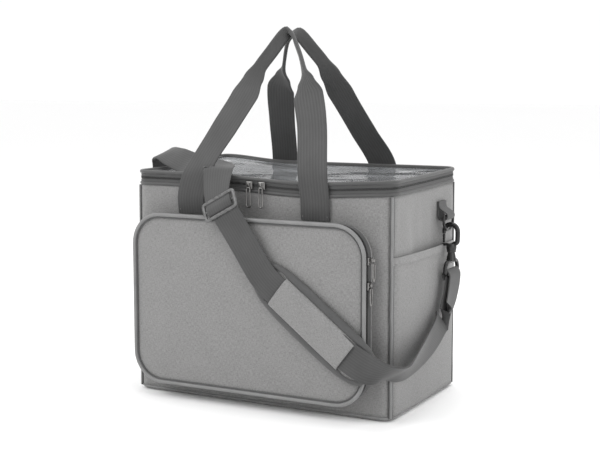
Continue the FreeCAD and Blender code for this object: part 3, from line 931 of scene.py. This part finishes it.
# ---------------------------------------------------------------- shoulder strap
RUN_TOP = Vector((24.9, -138.2, 168.5))
RUN_LOW = Vector((161.1, -138.2, 63.4))
RUN = (RUN_LOW - RUN_TOP).normalized()
ACROSS = RUN.cross(Vector((0, 1, 0))).normalized()
LONG_RUN = [
    ((191, 44, 149), (0, 1, 0)),
    ((191, 40, 132), (0, 1, 0.35)),
    ((191, 28, 112), (0, 0.8, 0.6)),
    ((191, 6, 92), (0, 0.65, 0.75)),
    ((191, -30, 76), (0.1, 0.45, 0.9)),
    ((191.5, -72, 65), (0.35, 0.2, 0.9)),
    ((192, -98, 62.5), (0.6, -0.1, 0.8)),
    ((189.5, -117, 63), (0.75, -0.35, 0.55)),
    ((183, -131, 64.5), (0.72, -0.35, 0.6)),
    ((172, -138.5, 67), (0.64, -0.15, 0.76)),
    ((158, -140.6, 71), (0.57, 0, 0.82)),
    ((136, -139.4, 82), ACROSS),
    ((RUN_TOP + RUN_LOW) / 2 + Vector((-1.5, 0.2, -2)), ACROSS),
    ((47, -139.0, 148), (0.64, 0, 0.77)),
    ((34, -139.2, 158.5), (0.72, 0, 0.69)),
    ((23, -139.4, 171), (0.8, 0, 0.6)),
    ((4, -139.2, 199), (0.825, 0, 0.565)),
    ((-20, -138.8, 233), (0.85, 0, 0.52)),
    ((-27, -136.6, 241), (0.879, 0, 0.477)),
]
SHORT_RUN = [
    ((-36, -133.8, 249), (0.879, 0, 0.477)),
    ((-39.5, -130, 256), (0.9, 0, 0.42)),
    ((-44, -122.5, 268), (0.95, 0.05, 0.25)),
    ((-47.5, -114.5, 279), (1.0, 0.1, 0.05)),
    ((-50, -108.5, 285), (1.0, 0.15, 0.0)),
    ((-53, -101.5, 287.5), (0.97, 0.25, 0.0)),
    ((-68, -86, 288), (0.8, 0.55, 0.15)),
    ((-98, -68, 286), (0.45, 0.75, 0.45)),
    ((-130, -52, 287), (0.3, 0.72, 0.6)),
    ((-158, -42, 294), (0.25, 0.8, 0.5)),
    ((-176, -35, 298), (0.1, 0.95, 0.3)),
    ((-187, -29, 293), (0.0, 0.97, 0.2)),
    ((-193, -21, 275), (0.0, 0.97, 0.2)),
    ((-199, -6, 245), (0.0, 0.97, 0.25)),
    ((-205, 8, 205), (0.0, 0.95, 0.3)),
    ((-208, 22, 165), (0.0, 0.95, 0.3)),
    ((-207, 33, 138), (0.0, 0.98, 0.2)),
    ((-200, 40, 128), (0.0, 1.0, 0.1)),
    ((-193, 43, 134), (0.0, 1.0, 0.0)),
    ((-191, 44, 149), (0.0, 1.0, 0.0)),
]


def build_strap():
    """The two lengths of the strap, and the turned end of each round its eye."""
    strip("shoulder_strap_front", LONG_RUN, 1.9, ["shoulder_strap"], 200)
    strip("shoulder_strap_back", SHORT_RUN, 1.9, ["shoulder_strap_end"], 160)
    for sign in (1, -1):
        x = sign * HOOK_X
        turn = ((5.0, -1, 146), (4.6, 0, 155), (0.0, 0, 160.6), (-4.2, 0, 155), (-2, -1, 146))
        rows = [((x + sign * a, RING_Y + b, z), (0, 1, 0)) for a, b, z in turn]
        if sign > 0:
            rows = [((x + 2.6, 20, 104.5), (0, 0.75, 0.65)), ((x + 3.2, 29, 113.5), (0, 0.82, 0.55)),
                    ((x + 4.2, 38, 128), (0, 0.95, 0.35))] + rows
        strip(hand(sign) + "_strap_fold", rows, 1.8, n=60)


def flat_loop(name, outline, face, out, deep, mat, nodes):
    """Moulded ring of even bar round an outline."""
    middle = sum(outline, Vector()) / len(outline)
    rings = [(-out, -deep * 0.6), (-out * 0.6, -deep), (out * 0.6, -deep), (out, -deep * 0.6),
             (out, deep * 0.6), (out * 0.6, deep), (-out * 0.6, deep), (-out, deep * 0.6)]
    bm = bmesh.new()
    loops = []
    count = len(outline)
    for grow, rise in rings:
        edge = []
        for i, p in enumerate(outline):
            run = (outline[(i + 1) % count] - outline[i - 1]).normalized()
            side = run.cross(face).normalized()
            if side.dot(p - middle) < 0:
                side = -side
            edge.append(bm.verts.new(p + side * grow + face * rise))
        loops.append(edge)
    for k, edge in enumerate(loops):
        after = loops[(k + 1) % len(loops)]
        for i in range(count):
            bm.faces.new((edge[i], edge[(i + 1) % count], after[(i + 1) % count], after[i]))
    bmesh.ops.recalc_face_normals(bm, faces=bm.faces)
    return finish_piece(name, bm, "bag", mat, nodes)


def build_adjuster():
    """Moulded slide: rounded outer frame, middle bar, strap threaded through."""
    wide = Vector((0.879, 0, 0.477)).normalized()
    down = Vector((0.448, -0.33, -0.83))
    down = (down - wide * down.dot(wide)).normalized()
    face = down.cross(wide).normalized()
    if face.y > 0:
        face = -face
    centre = Vector((-32, -136.2, 244.5))

    def at(a, b, c=0.0):
        return centre + wide * a + down * b + face * c
    outline = []
    for cx, cz, start in ((20.6, 8.0, 0), (-20.6, 8.0, 90), (-20.6, -8.0, 180), (20.6, -8.0, 270)):
        for i in range(4):
            ang = math.radians(start + 30 * i)
            outline.append(at(cx + 2.6 * math.cos(ang), cz + 2.6 * math.sin(ang)))
    # Frame and bar take the lightened acetal, which paints a highlight on their edges.
    flat_loop("adjuster_frame", outline, face, 1.9, 1.6, ACETAL_PAINTED_HIGHLIGHT, ["strap_adjuster"])
    bar = [at(a, 0, -0.6) for a in (-22, 0, 22)]
    rod("adjuster_bar", bar, 1.7, "bag", ACETAL_PAINTED_HIGHLIGHT, n=8)
    over = ((-8.5, -2.6), (-5.2, 0.6), (0, 2.0), (5.0, 0.8), (8.6, -2.6), (12, -3.4))
    rows = [(at(0, b, c), wide) for b, c in over]
    strip("adjuster_web_loop", rows, 1.8, n=50, width=WEB_W - 1.5)


PAD_HALF = 89.0
PAD_WIDE = 27.5
PAD_POWER = 3.6


def pad_point(along, across, out):
    """Place on the pad: along the strap, across it, and out from the pocket."""
    return (RUN_TOP + RUN_LOW) / 2 + RUN * along + ACROSS * (across - 2.4) + Vector((0, -out, 0))


def build_pad():
    """Foam pad with a bound edge and a cloth sleeve over the strap."""
    def rim(x, z):
        k = max(1e-6, abs(x) ** PAD_POWER + abs(z) ** PAD_POWER) ** (-1 / PAD_POWER)
        return pad_point(x * k * PAD_HALF, z * k * PAD_WIDE, -2.2 - 1.5 * (x * k) ** 2)

    def rim_at(turn):
        return rim(math.cos(2 * math.pi * turn), math.sin(2 * math.pi * turn))

    def soft(q):
        return 0.25 * noise.noise(q / 18)
    bm = pillow(60, 20, rim, pad_point(0, 0, -2.2), 1.4, 3.6, soft)
    pad = finish_piece("strap_pad", bm, "shoulder_pad", CANVAS_FLAT, ["shoulder_pad"])
    swell(pad, 0.8)

    def edge(s):
        along = (rim_at(s + 0.004) - rim_at(s - 0.004)).normalized()
        out = Vector((0, -1, 0))
        return rim_at(s) - 1.6 * out, along.cross(out).normalized(), out

    def binding(s):
        """The binding laps less far over the pad near its ends."""
        x, z = abs(math.cos(2 * math.pi * s)), abs(math.sin(2 * math.pi * s))
        far = x * (x ** PAD_POWER + z ** PAD_POWER) ** (-1 / PAD_POWER)
        lap = 7.2 - 3.0 * min(1.0, max(0.0, (far - 0.6) / 0.12))
        lapped = [(-lap * 0.7, -2.4), (-lap, 3.4), (-lap * 0.55, 3.9)]
        return lapped[1:] + [(-1.0, 3.6), (1.2, 2.6), (2.0, 0.0), (1.2, -2.4), (-1.0, -2.8)] + lapped[:1]
    bm = sweep(160, edge, binding, loop=True, length=480)
    finish_piece("strap_pad_binding", bm, "shoulder_pad", EDGE_DARK)

    def sleeve(u, v):
        along = -56 + 111 * u
        across = -21.0 + 41.0 * v
        rise = 4.6 * (1 - abs(2 * v - 1) ** 7)
        soft = 0.5 * noise.noise(Vector((along / 26, across / 14, 3.0)))
        return pad_point(along, across, -0.2 + rise + soft)
    bm = grid(60, 36, sleeve, (120, 52))
    bmesh.ops.recalc_face_normals(bm, faces=bm.faces)
    if sum(f.normal.y * f.calc_area() for f in bm.faces) > 0:
        bmesh.ops.reverse_faces(bm, faces=bm.faces)
    finish_piece("strap_pad_sleeve", bm, "shoulder_pad", CANVAS, ["pad_sleeve"], thick=0.9)


# ---------------------------------------------------------------- rings, hooks and tabs
def build_ring(sign):
    """Bent D-ring hanging in a loop of webbing sewn to the side panel."""
    side = hand(sign)
    x, y = sign * RING_AT.x, RING_Y
    top = span(side + "_ring")[1].z - RING_WIRE
    pts = [(x, y, top), (x, y + 15, top)]
    for i in range(9):
        a = math.pi * i / 8
        pts.append((x, y + 16 * math.cos(a), top - 4 - 14 * math.sin(a)))
    pts += [(x, y - 15, top)]
    rod(side + "_d_ring", pts, RING_WIRE, "bag", PLASTIC, [side + "_ring"], 110, (1, 0, 0), loop=True)
    wall = sign * (W / 2)
    tab = ((wall, 1.3, 244.0), (wall, 1.4, 235), (wall, 1.8, top), (wall, 4.2, top - 4.4),
           (x, 1.5, top - 3.6), (x, 3.2, top), (x, 1.4, top + 3.8),
           (wall, 5.0, top + 9), (wall, 3.4, 238.5), (wall, 3.2, 244.0))
    rows = [((near + sign * out, y, z), (0, 1, 0)) for near, out, z in tab]
    strip(side + "_ring_loop", rows, 1.7, [side + "_ring_tab"], 90, width=25.0, mat=WEB)


def build_hook(sign):
    """Moulded swivel hook: bent jaw, collar, sprung gate, and an eye for the strap."""
    side = hand(sign)
    x, y = sign * HOOK_X, RING_Y
    cx = x - sign * 1.0
    cz = 206.5
    jaw = 8.8
    pts = [(cx - sign * jaw, y, cz - 3.0)]
    for i in range(9):
        a = math.pi * (1 - i / 8)
        pts.append((cx + sign * jaw * math.cos(a), y, cz + jaw * math.sin(a)))
    pts += [(cx + sign * a, y, z) for a, z in ((jaw, 199), (8.0, 193.5), (3.0, 190.2), (1.0, 188.6))]
    track, total = smooth_rows([(p, (0, 1, 0)) for p in pts])

    def section(s):
        k = 0.72 + 0.28 * min(1.0, s * 6)
        return [(a * 2.6 * k, b * 3.0 * k) for a, b in circle(1.0, 14)]
    bm = sweep(110, track, section, length=total)
    turned(bm, 28, 6.4, 5.0, 4.0, (x, y, 189.6))
    turned(bm, 28, 5.6, 6.4, 6.4, (x, y, 184.4))
    ends = sorted((cx - sign * 10.6, cx - sign * 2))
    rounded_block(bm, (ends[0], y - 2.5, 188.6), (ends[1], y + 2.5, 191.8), 0.7)
    finish_piece(side + "_hook_body", bm, side + "_hook", PLASTIC, [side + "_hook"])
    gx = cx - sign * jaw
    bm = bmesh.new()
    rounded_block(bm, (gx - 1.5, y - 1.6, 192.6), (gx + 1.5, y + 1.6, 203.0), 0.6)
    finish_piece(side + "_gate", bm, side + "_hook_gate", PLASTIC, [side + "_hook_gate"])
    w = WEB_W / 2 + 2.0
    half = ((0, 156), (w - 3, 156), (w, 159), (w - 2, 166), (w - 7, 169.5), (0, 170))
    eye = [(x, y + a, z) for a, z in half] + [(x, y - a, z) for a, z in reversed(half[1:-1])]
    rod(side + "_strap_eye", eye, 2.6, "bag", PLASTIC, [side + "_hook_eye"], 120, (1, 0, 0), loop=True)
    bm = bmesh.new()
    turned(bm, 24, 6.4, 4.4, 10.0, (x, y, 175.6))
    finish_piece(side + "_swivel_neck", bm, "bag", PLASTIC)


# ---------------------------------------------------------------- zip sliders
def build_rim_slider(side):
    lo, hi = span(side + "_rim_slider")
    x = (lo.x + hi.x) / 2
    back = hi.y
    z = (lo.z + hi.z) / 2
    bm = bmesh.new()
    rounded_block(bm, (x - 4.4, back - 2.6, z - 4.8), (x + 4.4, back, z + 4.8), 1.1, 3)
    rounded_block(bm, (x - 2.6, back - 3.4, z - 3.4), (x + 2.6, back - 2.2, z + 3.4), 0.5)
    rounded_block(bm, (x - 1.5, back - 5.4, z - 0.5), (x + 1.5, back - 2.4, z + 3.6), 0.7)
    finish_piece(side + "_slider", bm, side + "_rim_slider", NICKEL, [side + "_rim_slider"])
    lo, hi = span(side + "_rim_pull")
    y = (lo.y + hi.y) / 2
    w = (hi.x - lo.x) / 2 - 0.9
    top, low = hi.z - 0.9, lo.z + 0.9
    rows = [(x, y, top), (x + w - 0.8, y, top - 0.4), (x + w * 0.8, y, top - 5), (x + w, y, low + 5)]
    rows += [(x + w * 0.8, y, low + 0.8), (x, y, low), (x - w * 0.8, y, low + 0.8), (x - w, y, low + 5)]
    rows += [(x - w * 0.8, y, top - 5), (x - w + 0.8, y, top - 0.4)]
    pull = side + "_rim_pull"
    rod(side + "_pull", rows, 0.95, pull, NICKEL, [pull], 80, (0, 1, 0), loop=True)


def build_pocket_slider(side):
    node = side + "_pocket_slider"
    lo, hi = span(node)
    z = (lo.z + hi.z) / 2
    y = PKT_ZIP + 0.6
    bm = bmesh.new()
    rounded_block(bm, (lo.x, y - 4.4, lo.z), (lo.x + 2.6, y + 4.4, hi.z), 1.0, 3)
    rounded_block(bm, (lo.x + 2.2, y - 1.5, z - 0.6), (hi.x, y + 1.5, z + 3.0), 0.6)
    finish_piece(node + "_body", bm, node, NICKEL, [node])
    pull = side + "_pocket_pull"
    lo, hi = span(pull)
    x = (lo.x + hi.x) / 2
    top, low = hi.z - 0.9, lo.z + 0.9
    w = (hi.y - lo.y) / 2 - 0.9
    ym = (hi.y + lo.y) / 2
    rows = [(x, ym, top), (x, ym + w, top - 1), (x, ym + w, low + 4)]
    rows += [(x, ym, low), (x, ym - w, low + 4), (x, ym - w, top - 1)]
    rod(pull + "_loop", rows, 0.85, pull, NICKEL, [pull], 70, (1, 0, 0), loop=True)


# ---------------------------------------------------------------- stage
def build_stage():
    bm = bmesh.new()
    bmesh.ops.create_grid(bm, x_segments=2, y_segments=2, size=20.0)
    mesh = bpy.data.meshes.new("floor")
    bm.to_mesh(mesh)
    bm.free()
    mesh.transform(Matrix.Translation((0, 0, -0.0006)))
    floor = bpy.data.objects.new("floor", mesh)
    bpy.context.scene.collection.objects.link(floor)
    mat, _, bsdf = shader("pale floor", 0.9)
    bsdf.inputs["Base Color"].default_value = (0.97, 0.97, 0.97, 1)
    mesh.materials.append(mat)
    bpy.context.scene.view_settings.view_transform = "Standard"
    world = bpy.data.worlds.new("studio")
    world.use_nodes = True
    world.node_tree.nodes["Background"].inputs["Color"].default_value = (1, 1, 1, 1)
    world.node_tree.nodes["Background"].inputs["Strength"].default_value = 1.02
    bpy.context.scene.world = world
    lamps = (("key", (-1.3, -1.7, 1.9), 1.4, 26), ("fill", (1.9, -0.9, 1.0), 1.2, 10),
             ("top", (0.2, 0.5, 2.0), 1.4, 14))
    for name, place, size, power in lamps:
        light = bpy.data.lights.new(name, "AREA")
        light.size = size
        light.energy = power
        lamp = bpy.data.objects.new(name, light)
        lamp.location = place
        aim = Vector((0, 0, 0.18)) - Vector(place)
        lamp.rotation_euler = aim.to_track_quat("-Z", "Y").to_euler()
        bpy.context.scene.collection.objects.link(lamp)


def build_camera():
    data = bpy.data.cameras.new("camera")
    data.lens = 71.82
    data.sensor_width = 36.0
    cam = bpy.data.objects.new("camera", data)
    cam.location = (0.7068, -1.3362, 0.3882)
    aim = Vector((0.0036, 0, 0.2089)) - cam.location
    cam.rotation_euler = aim.to_track_quat("-Z", "Y").to_euler()
    bpy.context.scene.collection.objects.link(cam)
    bpy.context.scene.camera = cam


build_camera()
build_stage()
build_walls()
build_lining()
build_corner_pipings()
build_base()
build_rim()
build_window()
build_pocket_sides()
build_pocket_cover()
for sign in (1, -1):
    build_pouch(sign)
    build_ring(sign)
    build_hook(sign)
build_handles()
build_strap()
build_adjuster()
build_pad()
for end in ("left", "right"):
    build_rim_slider(end)
for end in ("upper", "lower"):
    build_pocket_slider(end)
dress("base_stiffener", BOARD)
